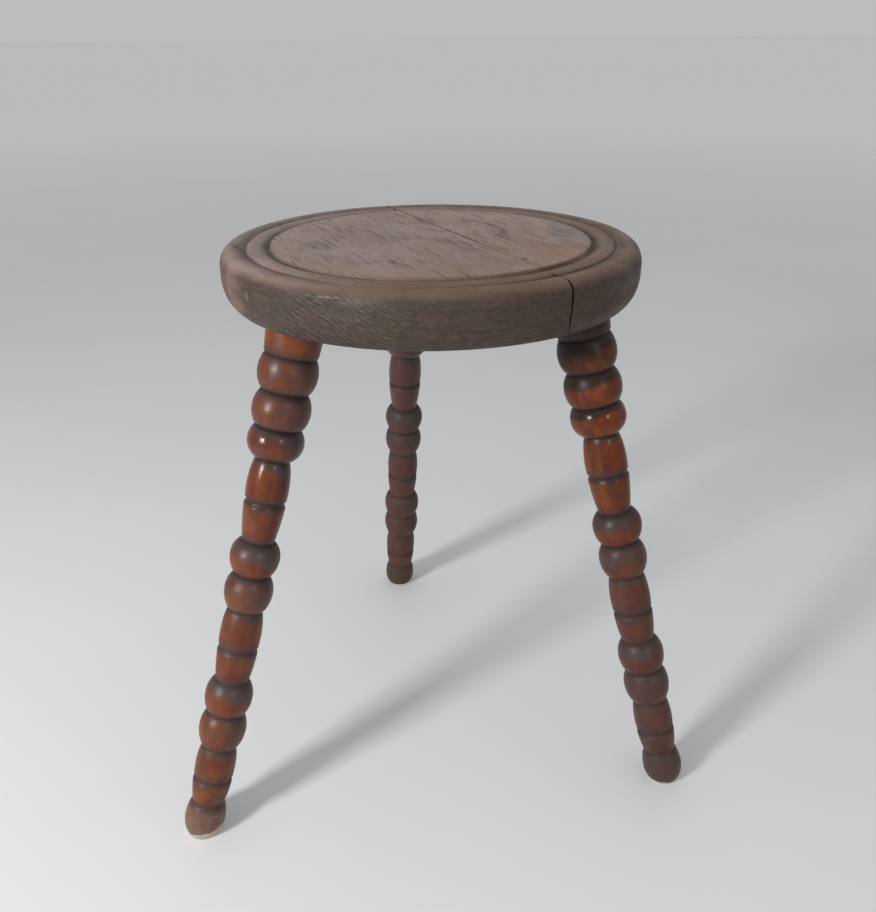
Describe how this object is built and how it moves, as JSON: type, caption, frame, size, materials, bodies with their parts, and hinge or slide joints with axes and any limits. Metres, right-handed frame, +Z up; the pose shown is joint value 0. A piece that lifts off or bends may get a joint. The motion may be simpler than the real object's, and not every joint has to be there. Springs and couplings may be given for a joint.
{
  "type": "three leg stool",
  "caption": "Round wooden stool: a thick seat with turned rings on splayed, bobbin-turned legs tenoned into its underside.",
  "frame": {"origin": "middle of the bottom of the whole stool's box, on the floor the feet stand on", "axes": "+Z up; -Y towards the person facing the two front legs, with the third leg behind on the +Y side; +X to that person's right"},
  "size_m": [0.4186, 0.3998, 0.45],
  "materials": {
    "seat_wood": "weathered, open-grained, unvarnished",
    "leg_wood": "glossy red-brown varnish, darker in the turned valleys",
    "dowel_wood": "bare, planed"
  },
  "bodies": {
    "root": {"seat_board_wide": "seat_wood", "seat_board_narrow": "seat_wood", "leg_front_left": "leg_wood", "leg_front_right": "leg_wood", "leg_rear": "leg_wood", "joint_dowel_front": "dowel_wood", "joint_dowel_middle": "dowel_wood", "joint_dowel_rear": "dowel_wood"}
  },
  "joints": []
}
